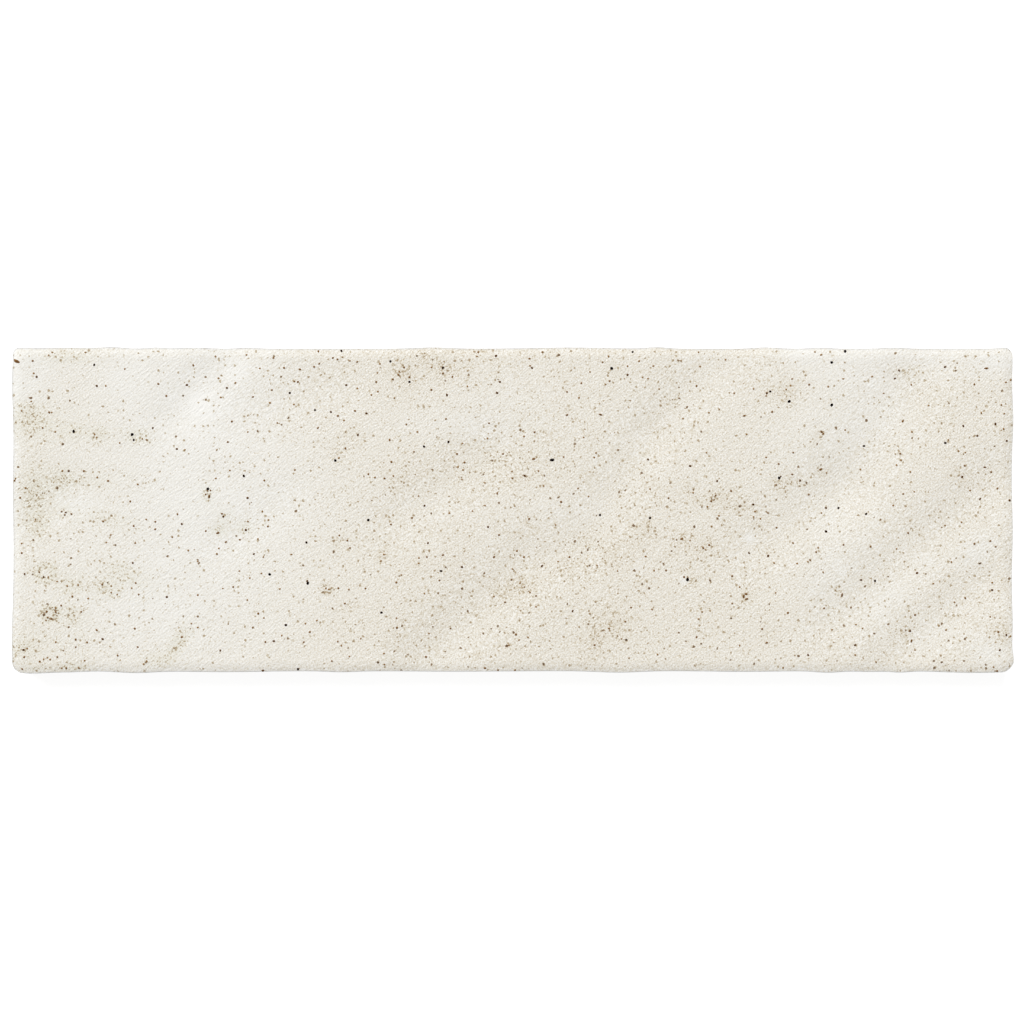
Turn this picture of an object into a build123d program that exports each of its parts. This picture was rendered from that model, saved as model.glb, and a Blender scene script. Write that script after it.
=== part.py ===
from build123d import *
import math
import os
from typing import NamedTuple

# A fired clay wall tile of the 65 x 200 mm format, lying on its back with its glazed face up.
# X runs along the tile, Y across it and Z up through its face. Sizes are in millimetres.
# The origin is under the middle of the tile, on the plane of its back.

LENGTH = 199.7  # between the lines that the two short edges bulge out from
WIDTH = 64.5  # between the lines that the two long edges bulge out from
THICKNESS = 9.0  # from the back to the level part of the face

# The face falls away towards each edge, and then rolls over a small arris.
PILLOW_REACH = 2.2
PILLOW_DROP = 0.26
PILLOW_CORNER = 3.0  # the fall-off turns each corner on this radius
ARRIS_RADIUS = 0.25
BACK_CHAMFER = 0.6

# The back has parallel keying grooves inside a plain border, so that it grips its adhesive.
GROOVE_COUNT = 6
GROOVE_WIDTH = 5.0
GROOVE_PITCH = 9.0
GROOVE_DEPTH = 0.8
GROOVE_SPLAY = 0.5  # how much narrower a groove's floor is, on each side
GROOVE_BORDER = 9.0  # plain back between a groove's end and the short edge

# How finely the waves are sampled.
EDGE_STEP = 1.6
FACE_STEP = 3.0
RIM_STEP = 0.75  # near an edge, where the face falls away
RIM_BAND = 3.75
FACE_MARGIN = 3.0  # how far the face's surface runs past the tile
CUTTER_HEIGHT = 5.0


class Bulge(NamedTuple):
    """A low swelling of an edge: its place along the edge, how far it stands out, and its half-width."""

    at: float
    out: float
    reach: float


class Furrow(NamedTuple):
    """A shallow trough pressed across the face, from start to end, and its half-width."""

    start: tuple[float, float]
    end: tuple[float, float]
    depth: float
    reach: float


FAR_BULGES = (
    Bulge(-98.0, 0.17, 1.6),
    Bulge(-87.6, 0.20, 5.6),
    Bulge(-80.0, 0.24, 1.9),
    Bulge(-71.2, 0.22, 1.5),
    Bulge(-63.6, 0.20, 2.6),
    Bulge(-53.0, 0.19, 1.8),
    Bulge(-16.0, 0.25, 3.2),
    Bulge(11.4, 0.24, 7.0),
    Bulge(28.8, 0.29, 1.9),
    Bulge(50.4, 0.26, 2.2),
    Bulge(61.4, 0.18, 1.7),
    Bulge(76.2, 0.20, 2.2),
    Bulge(98.2, 0.20, 1.2),
)
NEAR_BULGES = (
    Bulge(-96.2, 0.48, 3.4),
    Bulge(-88.6, 0.22, 3.0),
    Bulge(-75.2, 0.38, 3.6),
    Bulge(-57.6, 0.20, 7.0),
    Bulge(-34.2, 0.22, 2.8),
    Bulge(-12.6, 0.12, 9.0),
    Bulge(21.0, 0.30, 4.0),
    Bulge(46.4, 0.14, 6.0),
    Bulge(63.0, 0.32, 2.4),
    Bulge(71.4, 0.18, 2.4),
    Bulge(77.4, 0.28, 1.8),
    Bulge(92.4, 0.36, 6.0),
)
LEFT_BULGES = (
    Bulge(25.0, 0.30, 4.4),
    Bulge(3.0, 0.14, 5.0),
    Bulge(-26.0, 0.36, 5.6),
)
RIGHT_BULGES = (
    Bulge(30.4, 0.16, 2.4),
    Bulge(18.0, 0.28, 3.6),
    Bulge(-4.0, 0.18, 4.0),
    Bulge(-22.4, 0.16, 2.8),
    Bulge(-30.0, 0.38, 1.4),
)

# The radius of each upright corner, by the signs of its X and Y.
CORNER_RADII = {(-1, 1): 1.1, (-1, -1): 1.9, (1, 1): 1.5, (1, -1): 2.1}

FURROWS = (
    Furrow((-67.0, 19.4), (-56.0, 31.4), 0.32, 3.2),
    Furrow((-57.6, -7.0), (-46.6, 1.0), 0.16, 3.2),
    Furrow((14.4, -5.4), (26.8, 12.6), 0.32, 3.8),
    Furrow((29.6, 17.6), (44.4, 31.6), 0.26, 3.6),
    Furrow((-17.6, -30.0), (2.4, -11.6), 0.42, 4.2),
    Furrow((50.4, -6.4), (64.0, 2.6), 0.38, 4.6),
    Furrow((67.4, 6.4), (81.6, 28.6), 0.38, 4.6),
    Furrow((66.4, -20.6), (96.4, 5.6), 0.42, 4.0),
    Furrow((74.0, -31.6), (93.0, -15.4), 0.42, 4.0),
    Furrow((-96.6, -2.0), (-90.6, 2.0), 0.20, 4.0),
    Furrow((-55.6, 19.0), (-36.6, 23.0), 0.14, 4.0),
    Furrow((-21.0, -1.0), (-6.0, 10.0), 0.28, 4.0),
)
FURROW_RUN_OUT = 1.3  # how far a furrow fades past its ends, in half-widths


def swell(offset, reach):
    """A smooth hump of height 1, which fades with the offset from its middle."""
    return math.exp(-0.5 * (offset / reach) ** 2)


def bulge_out(bulges, along):
    """How far an edge stands out beyond its line at a place along it."""
    return sum(b.out * swell(along - b.at, b.reach) for b in bulges)


def edge_reach(x, y):
    """Half the tile's length at y and half its width at x, on the sides where the point lies."""
    ends = RIGHT_BULGES if x > 0 else LEFT_BULGES
    sides = FAR_BULGES if y > 0 else NEAR_BULGES
    return LENGTH / 2 + bulge_out(ends, y), WIDTH / 2 + bulge_out(sides, x)


def rim_distance(x, y):
    """How far inside the tile's edge a point lies, measured round the corners on one radius."""
    half_length, half_width = edge_reach(x, y)
    past_x = abs(x) - half_length + PILLOW_CORNER
    past_y = abs(y) - half_width + PILLOW_CORNER
    outside = math.hypot(max(past_x, 0), max(past_y, 0))
    return PILLOW_CORNER - outside - min(max(past_x, past_y), 0)


def furrow_depth(furrow, x, y):
    """How deep one furrow is at a point: full along its middle, and fading to the sides and past its ends."""
    start = Vector(*furrow.start)
    run = Vector(*furrow.end) - start
    way = run.normalized()
    along = (Vector(x, y) - start).dot(way)
    across = (Vector(x, y) - start).cross(way).length
    past_end = max(-along, along - run.length, 0)
    fade = swell(past_end, furrow.reach * FURROW_RUN_OUT)
    return furrow.depth * swell(across, furrow.reach) * fade


def face_height(x, y):
    """The height of the glazed face over a point of the back's plane."""
    short_of_level = max(PILLOW_REACH - rim_distance(x, y), 0)
    pillow = PILLOW_DROP * (short_of_level / PILLOW_REACH) ** 2
    return THICKNESS - pillow - sum(furrow_depth(f, x, y) for f in FURROWS)


def steps(start, end, step):
    """Evenly spaced values from start to end, about a step apart."""
    count = max(round(abs(end - start) / step), 1)
    return [start + (end - start) * n / count for n in range(count + 1)]


def face_stations(half):
    """Where the face is sampled along one axis: finely by the edges and coarsely between them."""
    outer = half + FACE_MARGIN
    inner = half - RIM_BAND
    rim = steps(-outer, -inner, RIM_STEP)
    middle = steps(-inner, inner, FACE_STEP)
    return rim[:-1] + middle + [-value for value in reversed(rim[:-1])]


def outline():
    """The tile's outline on the plane of its back, with four wavy edges that meet in sharp corners."""

    def corner(x_sign, y_sign):
        half_length, half_width = edge_reach(x_sign * LENGTH / 2, y_sign * WIDTH / 2)
        return x_sign * half_length, y_sign * half_width

    def long_edge(y_sign):
        start, end = corner(-1, y_sign), corner(1, y_sign)
        inner = steps(start[0], end[0], EDGE_STEP)[1:-1]
        points = [(x, y_sign * edge_reach(x, y_sign)[1]) for x in inner]
        return Spline(start, *points, end)

    def short_edge(x_sign):
        start, end = corner(x_sign, -1), corner(x_sign, 1)
        inner = steps(start[1], end[1], EDGE_STEP)[1:-1]
        points = [(x_sign * edge_reach(x_sign, y)[0], y) for y in inner]
        return Spline(start, *points, end)

    return make_face([long_edge(1), long_edge(-1), short_edge(1), short_edge(-1)])


def block():
    """The tile's outline raised past its face, with its upright corners rounded."""
    body = extrude(outline(), THICKNESS + CUTTER_HEIGHT / 2)
    for (x_sign, y_sign), radius in CORNER_RADII.items():
        uprights = body.edges().filter_by(Axis.Z)
        where = Vector(x_sign * LENGTH / 2, y_sign * WIDTH / 2)
        nearest = min(uprights, key=lambda e: (Vector(e.center().X, e.center().Y) - where).length)
        body = fillet(nearest, radius)
    return body


def above_face():
    """Everything above the furrowed face, to be cut away."""
    rows = [
        [Vector(x, y, face_height(x, y)) for y in face_stations(WIDTH / 2)]
        for x in face_stations(LENGTH / 2)
    ]
    surface = Face.make_surface_from_array_of_points(rows, tol=0.002)
    return Solid.extrude(surface, Vector(0, 0, CUTTER_HEIGHT))


def keying_groove(y):
    """One groove of the back: a long low prism with splayed walls."""
    length = LENGTH - 2 * GROOVE_BORDER
    mouth = Pos(0, y, 0) * Rectangle(length, GROOVE_WIDTH)
    floor_size = (length - 2 * GROOVE_SPLAY, GROOVE_WIDTH - 2 * GROOVE_SPLAY)
    floor = Pos(0, y, GROOVE_DEPTH) * Rectangle(*floor_size)
    return loft([mouth, floor], ruled=True)


def build_tile():
    """The whole tile as one solid."""
    body = block() - above_face()
    top_edges = [e for e in body.edges() if e.bounding_box().min.Z > THICKNESS / 2]
    body = fillet(top_edges, ARRIS_RADIUS)
    back = body.faces().sort_by(Axis.Z)[0]
    body = chamfer(back.outer_wire().edges(), BACK_CHAMFER)
    first = -(GROOVE_COUNT - 1) / 2 * GROOVE_PITCH
    for number in range(GROOVE_COUNT):
        body -= keying_groove(first + number * GROOVE_PITCH)
    box = body.bounding_box()
    middle = Vector(box.center().X, box.center().Y, box.min.Z)
    return body.moved(Location(-middle))


os.makedirs("parts", exist_ok=True)
tile = build_tile()
export_step(tile, "parts/tile.step")
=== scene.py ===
"""An off-white speckled wall tile of the 65 x 200 mm format, dressed and lit for a picture from above.

Sizes are in millimetres and turn into metres where a mesh, a material or a camera is made. X runs along the
tile, Y across it and Z up through its glazed face. A place on the face may also be given as a pixel of the
1024 x 1024 picture.
"""
import logging
import math
import random
from dataclasses import dataclass, field
from enum import Enum

import bmesh
import bpy
from mathutils import Matrix, Vector, noise


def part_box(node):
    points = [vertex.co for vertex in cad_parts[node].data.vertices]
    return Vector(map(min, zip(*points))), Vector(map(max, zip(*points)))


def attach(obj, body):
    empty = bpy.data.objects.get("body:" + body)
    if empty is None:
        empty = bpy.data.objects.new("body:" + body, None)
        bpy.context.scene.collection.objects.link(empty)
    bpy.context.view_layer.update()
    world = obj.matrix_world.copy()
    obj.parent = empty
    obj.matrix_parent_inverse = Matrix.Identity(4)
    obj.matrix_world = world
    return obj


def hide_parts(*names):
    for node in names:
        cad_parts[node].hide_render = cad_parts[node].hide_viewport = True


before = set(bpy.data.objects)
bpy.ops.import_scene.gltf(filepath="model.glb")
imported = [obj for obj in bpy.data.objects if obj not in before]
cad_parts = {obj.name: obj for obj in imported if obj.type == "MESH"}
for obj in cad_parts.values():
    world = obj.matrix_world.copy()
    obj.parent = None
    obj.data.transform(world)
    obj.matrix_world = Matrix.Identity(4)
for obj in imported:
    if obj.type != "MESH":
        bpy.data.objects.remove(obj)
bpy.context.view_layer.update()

MM = 0.001
NODE = "tile"

Point = tuple[float, float]
Colour = tuple[float, float, float, float]


def swell(offset: float, reach: float) -> float:
    """A smooth hump of height 1 that fades away from its middle.

    Args:
        offset: how far the point is from the middle of the hump.
        reach: the hump's half-width, in the same unit.

    Returns:
        The hump's height at the point, from 0 to 1.
    """
    return math.exp(-0.5 * (offset / reach) ** 2)


def paint(red: int, green: int, blue: int) -> Colour:
    """A colour as a paint chart gives it, from 0 to 255, turned into the linear colour that a shader takes.

    Args:
        red: the red part.
        green: the green part.
        blue: the blue part.

    Returns:
        The linear colour with an alpha of 1.
    """

    def linear(part: int) -> float:
        """One part as a linear value."""
        share = part / 255
        return share / 12.92 if share <= 0.04045 else ((share + 0.055) / 1.055) ** 2.4

    return linear(red), linear(green), linear(blue), 1.0


def rows(kind: type, *values: tuple) -> tuple:
    """Makes one thing of a kind from each row of a table.

    Args:
        kind: the class of the things.
        values: what each of them is made from.

    Returns:
        The things, in the table's order.
    """
    return tuple(kind(*row) for row in values)


@dataclass(frozen=True)
class Bulge:
    """A low swelling of an edge: its place along the edge, how far it stands out, and its half-width."""

    at: float
    out: float
    reach: float


@dataclass(frozen=True)
class Furrow:
    """A shallow trough pressed across the face from start to end, with its depth and half-width."""

    start: Point
    end: Point
    depth: float
    reach: float
    run_out: float = 1.3

    def depth_at(self, x: float, y: float) -> float:
        """How deep the furrow is at a point of the face.

        Args:
            x: the point's place along the tile.
            y: the point's place across the tile.

        Returns:
            The depth, which fades to both sides of the furrow and past its ends.
        """
        run_x, run_y = self.end[0] - self.start[0], self.end[1] - self.start[1]
        run = math.hypot(run_x, run_y)
        off_x, off_y = x - self.start[0], y - self.start[1]
        along = (off_x * run_x + off_y * run_y) / run
        across = (off_y * run_x - off_x * run_y) / run
        past_end = max(-along, along - run, 0.0)
        return self.depth * swell(across, self.reach) * swell(past_end, self.reach * self.run_out)


FAR_BULGES = rows(
    Bulge,
    (-98.0, 0.17, 1.6), (-87.6, 0.20, 5.6), (-80.0, 0.24, 1.9), (-71.2, 0.22, 1.5), (-63.6, 0.20, 2.6),
    (-53.0, 0.19, 1.8), (-16.0, 0.25, 3.2), (11.4, 0.24, 7.0), (28.8, 0.29, 1.9), (50.4, 0.26, 2.2),
    (61.4, 0.18, 1.7), (76.2, 0.20, 2.2), (98.2, 0.20, 1.2),
)
NEAR_BULGES = rows(
    Bulge,
    (-96.2, 0.48, 3.4), (-88.6, 0.22, 3.0), (-75.2, 0.38, 3.6), (-57.6, 0.20, 7.0), (-34.2, 0.22, 2.8),
    (-12.6, 0.12, 9.0), (21.0, 0.30, 4.0), (46.4, 0.14, 6.0), (63.0, 0.32, 2.4), (71.4, 0.18, 2.4),
    (77.4, 0.28, 1.8), (92.4, 0.36, 6.0),
)
LEFT_BULGES = rows(
    Bulge,
    (25.0, 0.30, 4.4), (3.0, 0.14, 5.0), (-26.0, 0.36, 5.6),
)
RIGHT_BULGES = rows(
    Bulge,
    (30.4, 0.16, 2.4), (18.0, 0.28, 3.6), (-4.0, 0.18, 4.0), (-22.4, 0.16, 2.8), (-30.0, 0.38, 1.4),
)
FURROWS = rows(
    Furrow,
    ((-67.0, 19.4), (-56.0, 31.4), 0.32, 3.2), ((-57.6, -7.0), (-46.6, 1.0), 0.16, 3.2),
    ((14.4, -5.4), (26.8, 12.6), 0.32, 3.8), ((29.6, 17.6), (44.4, 31.6), 0.26, 3.6),
    ((-17.6, -30.0), (2.4, -11.6), 0.42, 4.2), ((50.4, -6.4), (64.0, 2.6), 0.38, 4.6),
    ((67.4, 6.4), (81.6, 28.6), 0.38, 4.6), ((66.4, -20.6), (96.4, 5.6), 0.42, 4.0),
    ((74.0, -31.6), (93.0, -15.4), 0.42, 4.0), ((-96.6, -2.0), (-90.6, 2.0), 0.20, 4.0),
    ((-55.6, 19.0), (-36.6, 23.0), 0.14, 4.0), ((-21.0, -1.0), (-6.0, 10.0), 0.28, 4.0),
)


@dataclass(frozen=True)
class Picture:
    """How the picture's pixels lie on the face: their size, and the one over the nominal tile's middle."""

    side: int = 1024
    mm_per_pixel: float = 0.2
    middle_across: float = 512.7
    middle_down: float = 509.8

    def to_face(self, across: float, down: float) -> Point:
        """A pixel's place on the face, from the middle of the nominal tile.

        Args:
            across: pixels from the left of the picture.
            down: pixels from the top of the picture.

        Returns:
            The place along and across the tile.
        """
        x = (across - self.middle_across) * self.mm_per_pixel
        y = (self.middle_down - down) * self.mm_per_pixel
        return x, y


@dataclass
class TileShape:
    """The outline and the face of the tile, with its waves, furrows and fine unevenness.

    The arris starts where the face already slopes by arris_start, in degrees. Each of the swells is the span
    and the height of one size of the face's unevenness, and swell_apart keeps their noises from matching.
    """

    length: float = 199.7
    width: float = 64.5
    thickness: float = 9.0
    pillow_reach: float = 2.2
    pillow_drop: float = 0.26
    pillow_corner: float = 3.0
    arris: float = 0.20
    arris_start: float = 11.0
    back_chamfer: float = 0.6
    corner_radii: dict[tuple[int, int], float] = field(
        default_factory=lambda: {(-1, 1): 1.1, (-1, -1): 1.9, (1, 1): 1.5, (1, -1): 2.1}
    )
    swells: tuple[Point, ...] = ((15.0, 0.050), (5.5, 0.016), (2.0, 0.007))
    swell_apart: float = 7.3

    def __post_init__(self) -> None:
        """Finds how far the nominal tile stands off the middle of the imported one, by its bulges' tops."""
        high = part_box(NODE)[1] / MM
        tenths_across, tenths_along = range(-325, 326), range(-1000, 1001)
        ends = [self.half_sizes(1.0, y * 0.1)[0] for y in tenths_across]
        sides = [self.half_sizes(x * 0.1, 1.0)[1] for x in tenths_along]
        self.shift = Vector((high.x - max(ends), high.y - max(sides)))

    def half_sizes(self, x: float, y: float) -> Point:
        """Half the length at y and half the width at x, on the sides where the point lies.

        Args:
            x: the point's place along the tile.
            y: the point's place across the tile.

        Returns:
            The half length and the half width, bulges included.
        """
        ends = RIGHT_BULGES if x > 0 else LEFT_BULGES
        sides = FAR_BULGES if y > 0 else NEAR_BULGES
        half_length = self.length / 2 + sum(b.out * swell(y - b.at, b.reach) for b in ends)
        half_width = self.width / 2 + sum(b.out * swell(x - b.at, b.reach) for b in sides)
        return half_length, half_width

    def rim_distance(self, x: float, y: float) -> float:
        """How far inside the outline a point lies, measured round the corners on one radius.

        Args:
            x: the point's place along the tile.
            y: the point's place across the tile.

        Returns:
            The distance, which is negative outside the outline.
        """
        half_length, half_width = self.half_sizes(x, y)
        past_x = abs(x) - half_length + self.pillow_corner
        past_y = abs(y) - half_width + self.pillow_corner
        outside = math.hypot(max(past_x, 0.0), max(past_y, 0.0))
        return self.pillow_corner - outside - min(max(past_x, past_y), 0.0)

    def unevenness(self, x: float, y: float) -> float:
        """The face's fine hills and hollows at a point, level on average.

        Args:
            x: the point's place along the tile.
            y: the point's place across the tile.

        Returns:
            The height over the smooth face.
        """
        return sum(
            height * noise.noise(Vector((x / span, y / span, self.swell_apart * row)))
            for row, (span, height) in enumerate(self.swells)
        )

    def face_height(self, x: float, y: float) -> float:
        """The height of the glazed face over the plane of the back.

        Args:
            x: the point's place along the tile.
            y: the point's place across the tile.

        Returns:
            The height with furrows, pillowed rim and fine unevenness.
        """
        short_of_level = max(self.pillow_reach - self.rim_distance(x, y), 0.0)
        pillow = self.pillow_drop * (short_of_level / self.pillow_reach) ** 2
        furrows = sum(furrow.depth_at(x, y) for furrow in FURROWS)
        return self.thickness - pillow - furrows + self.unevenness(x, y)

    def place(self, u: float, v: float, inset: float) -> Point:
        """Where a point of the square from -1 to 1 lies when the square is stretched over the outline.

        Args:
            u: the point's place along the square.
            v: the point's place across the square.
            inset: how far inside the outline the square's own sides lie.

        Returns:
            The place along and across the nominal tile, with the corners rounded.
        """
        half_length, half_width = self.half_sizes(u * self.length / 2, v * self.width / 2)
        x, y = u * (half_length - inset), v * (half_width - inset)
        radius = self.corner_radii[(1 if u > 0 else -1, 1 if v > 0 else -1)] - inset
        level_x, level_y = half_length - inset - radius, half_width - inset - radius
        a, b = (abs(x) - level_x) / radius, (abs(y) - level_y) / radius
        if a <= 0 or b <= 0:
            return x, y
        x = math.copysign(level_x + radius * a * math.sqrt(1 - b * b / 2), u)
        y = math.copysign(level_y + radius * b * math.sqrt(1 - a * a / 2), v)
        return x, y


class Wiring:
    """Adds nodes to one node tree and joins them up."""

    def __init__(self, tree: bpy.types.NodeTree) -> None:
        """Takes the tree to work in."""
        self.tree = tree

    def add(self, kind: str, **settings: object) -> bpy.types.Node:
        """Adds a node.

        Args:
            kind: the node's type name.
            settings: values for the node's own properties.

        Returns:
            The new node.
        """
        node = self.tree.nodes.new(kind)
        for name, value in settings.items():
            setattr(node, name, value)
        return node

    def feed(self, socket: bpy.types.NodeSocket, value: object) -> None:
        """Links an output to an input, or sets the input's own value.

        Args:
            socket: the input.
            value: an output socket, or a plain value.
        """
        if isinstance(value, bpy.types.NodeSocket):
            self.tree.links.new(value, socket)
        else:
            socket.default_value = value

    def fill(self, node: bpy.types.Node, **values: object) -> bpy.types.Node:
        """Feeds a node's inputs.

        Args:
            node: the node.
            values: what each input takes, by its name with spaces written as underscores.

        Returns:
            The node.
        """
        for name, value in values.items():
            self.feed(node.inputs[name.replace("_", " ")], value)
        return node

    def math(self, operation: str, *values: object) -> bpy.types.NodeSocket:
        """Adds one step of arithmetic.

        Args:
            operation: the Math node's operation.
            values: what it works on, outputs or numbers.

        Returns:
            The result.
        """
        node = self.add("ShaderNodeMath", operation=operation)
        for socket, value in zip(node.inputs, values):
            self.feed(socket, value)
        return node.outputs[0]

    def vector_math(self, operation: str, *values: object) -> bpy.types.NodeSocket:
        """Adds one step of arithmetic on vectors.

        Args:
            operation: the Vector Math node's operation.
            values: the vectors that it works on.

        Returns:
            The resulting vector.
        """
        node = self.add("ShaderNodeVectorMath", operation=operation)
        for socket, value in zip(node.inputs, values):
            self.feed(socket, value)
        return node.outputs[0]

    def spread(
        self, value: object, low: object, high: object, to: Point = (0.0, 1.0)
    ) -> bpy.types.NodeSocket:
        """Turns a range of values into another with soft ends.

        Args:
            value: the value to turn.
            low: the value that gives the first end of the new range.
            high: the value that gives its last end.
            to: the new range.

        Returns:
            The new value.
        """
        node = self.add("ShaderNodeMapRange", interpolation_type="SMOOTHSTEP")
        self.fill(node, Value=value, From_Min=low, From_Max=high, To_Min=to[0], To_Max=to[1])
        return node.outputs["Result"]

    def blend(
        self, share: object, first: object, second: object, **settings: object
    ) -> bpy.types.NodeSocket:
        """Mixes two colours.

        Args:
            share: how much of the second colour shows.
            first: the colour at a share of 0.
            second: the colour at a share of 1, or what the first is multiplied by where settings say so.
            settings: values for the Mix node's own properties.

        Returns:
            The mixed colour.
        """
        node = self.add("ShaderNodeMix", data_type="RGBA", **settings)
        for index, value in zip((0, 6, 7), (share, first, second)):
            self.feed(node.inputs[index], value)
        return node.outputs[2]

    def noise(
        self, vector: object, span: float, detail: float = 2.0, roughness: float = 0.5
    ) -> bpy.types.Node:
        """Adds a cloudy noise.

        Args:
            vector: the coordinates it lies on, in metres.
            span: the size of its clouds in mm.
            detail: how many finer clouds it has.
            roughness: how strong the finer ones are.

        Returns:
            The noise node.
        """
        node = self.add("ShaderNodeTexNoise")
        return self.fill(node, Vector=vector, Scale=1 / (span * MM), Detail=detail, Roughness=roughness)

    def ramp(self, value: object, stops: tuple[tuple[float, Colour], ...]) -> bpy.types.NodeSocket:
        """Adds a colour ramp.

        Args:
            value: the place on the ramp.
            stops: each stop's place from 0 to 1 and its colour, in rising order.

        Returns:
            The colour at the place.
        """
        node = self.add("ShaderNodeValToRGB")
        self.feed(node.inputs[0], value)
        marks = node.color_ramp.elements
        for place, colour in stops[1:-1]:
            marks.new(place).color = colour
        for end in (0, -1):
            marks[end].position, marks[end].color = stops[end]
        return node.outputs["Color"]

    def place(self) -> bpy.types.NodeSocket:
        """The coordinates of the piece itself, in metres."""
        return self.add("ShaderNodeTexCoord").outputs["Object"]

    def layer(self, name: str) -> bpy.types.NodeSocket:
        """The value of one of the piece's own layers."""
        return self.add("ShaderNodeAttribute", attribute_name=name).outputs["Fac"]

    def seen(self) -> bpy.types.NodeSocket:
        """Whether a point is seen rather than lit from.

        Returns:
            1 for a ray from the camera, a mirror or a glass, and 0 for any other ray.
        """
        rays = self.add("ShaderNodeLightPath").outputs
        direct = self.math("MAXIMUM", rays["Is Camera Ray"], rays["Is Glossy Ray"])
        return self.math("MAXIMUM", direct, rays["Is Transmission Ray"])

    def group(self, tree: bpy.types.NodeTree, **values: object) -> bpy.types.Node:
        """Places a node group and feeds its inputs by name."""
        return self.fill(self.add("ShaderNodeGroup", node_tree=tree), **values)

    def bump(self, height: object, relief: float) -> bpy.types.NodeSocket:
        """Turns a height from 0 to 1 into a normal, by the relief in mm that a height of 1 stands for."""
        return self.fill(self.add("ShaderNodeBump"), Height=height, Distance=relief * MM).outputs[0]

    def end_with(self, shader: bpy.types.Node, kind: str = "ShaderNodeOutputMaterial") -> None:
        """Sends a shader to the output of the material, or of another kind of tree."""
        self.fill(self.add(kind), Surface=shader.outputs[0])


class GroupWiring(Wiring):
    """The wiring of a new node group, with its two end nodes."""

    def __init__(self, name: str, inputs: dict[str, float | None], outputs: tuple[str, ...]) -> None:
        """Starts the group.

        Args:
            name: the group's name.
            inputs: each input's name with its usual number, or None for a vector.
            outputs: the names of its number outputs.
        """
        super().__init__(bpy.data.node_groups.new(name, "ShaderNodeTree"))
        for label, usual in inputs.items():
            kind = "NodeSocketVector" if usual is None else "NodeSocketFloat"
            socket = self.tree.interface.new_socket(label, in_out="INPUT", socket_type=kind)
            if usual is not None:
                socket.default_value = usual
        for label in outputs:
            self.tree.interface.new_socket(label, in_out="OUTPUT", socket_type="NodeSocketFloat")
        self.start = self.add("NodeGroupInput")
        self.end = self.add("NodeGroupOutput")


def empty_wiring(block: bpy.types.ID) -> Wiring:
    """Empties the node tree of a material or a world.

    Args:
        block: the material or the world.

    Returns:
        The wiring of its tree.
    """
    block.use_nodes = True
    block.node_tree.nodes.clear()
    return Wiring(block.node_tree)


def new_object(name: str, work: bmesh.types.BMesh) -> bpy.types.Object:
    """Turns a finished mesh into an object of the scene, at the origin.

    Args:
        name: the object's name.
        work: the mesh, which is freed.

    Returns:
        The object.
    """
    mesh = bpy.data.meshes.new(name)
    work.to_mesh(mesh)
    work.free()
    made = bpy.data.objects.new(name, mesh)
    bpy.context.scene.collection.objects.link(made)
    return made


class Effects:
    """The node groups that the finishes share, each built once."""

    def __init__(self) -> None:
        """Builds every group."""
        self.grain = self.build_grain()
        self.specks = self.build_specks()

    def build_grain(self) -> bpy.types.NodeTree:
        """The sandy grain of fired clay.

        Returns:
            A group that turns coordinates into a grain from about -1 to 1, and a broader mottle like it.
        """
        inputs = {"Vector": None, "Span": 0.00046, "Mottle Span": 0.003}
        wiring = GroupWiring("Sandy grain", inputs, ("Grain", "Mottle"))
        given = wiring.start.outputs
        for result, span, detail in (("Grain", "Span", 1.0), ("Mottle", "Mottle Span", 2.0)):
            node = wiring.noise(given["Vector"], 1.0, detail, 0.55)
            wiring.fill(node, Scale=wiring.math("DIVIDE", 1.0, given[span]))
            centred = wiring.math("SUBTRACT", node.outputs[0], 0.5)
            wiring.feed(wiring.end.inputs[result], wiring.math("MULTIPLY", centred, 4.0))
        return wiring.tree

    def build_specks(self) -> bpy.types.NodeTree:
        """Iron specks scattered through the clay, each with its own chance of showing, size and depth.

        Returns:
            A group that turns coordinates into the strength of specks of one size, from 0 to 1.
        """
        inputs = {"Vector": None, "Spacing": 0.0014, "Radius": 0.0002, "Share": 0.5, "Raggedness": 0.00012}
        wiring = GroupWiring("Iron specks", inputs, ("Strength",))
        given = wiring.start.outputs
        ragged = wiring.noise(given["Vector"], 0.45, 1.0)
        centred = wiring.vector_math("SUBTRACT", ragged.outputs["Color"], (0.5, 0.5, 0.5))
        pushed = wiring.add("ShaderNodeVectorMath", operation="SCALE")
        wiring.feed(pushed.inputs[0], centred)
        wiring.fill(pushed, Scale=wiring.math("MULTIPLY", given["Raggedness"], 4.0))
        moved = wiring.vector_math("ADD", given["Vector"], pushed.outputs[0])
        cells = wiring.add("ShaderNodeTexVoronoi", voronoi_dimensions="3D", feature="F1")
        wiring.fill(cells, Vector=moved, Scale=wiring.math("DIVIDE", 1.0, given["Spacing"]))
        chance = wiring.add("ShaderNodeSeparateColor")
        wiring.feed(chance.inputs[0], cells.outputs["Color"])
        away = wiring.math("MULTIPLY", cells.outputs["Distance"], given["Spacing"])
        size = wiring.spread(chance.outputs[1], 0.0, 1.0, (0.75, 1.3))
        radius = wiring.math("MULTIPLY", given["Radius"], size)
        core = wiring.math("MULTIPLY", radius, 0.6)
        round_speck = wiring.spread(away, radius, core)
        picked = wiring.math("LESS_THAN", chance.outputs[0], given["Share"])
        depth = wiring.spread(chance.outputs[2], 0.0, 1.0, (0.45, 1.0))
        strength = wiring.math("MULTIPLY", wiring.math("MULTIPLY", round_speck, picked), depth)
        wiring.fill(wiring.end, Strength=strength)
        return wiring.tree


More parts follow.
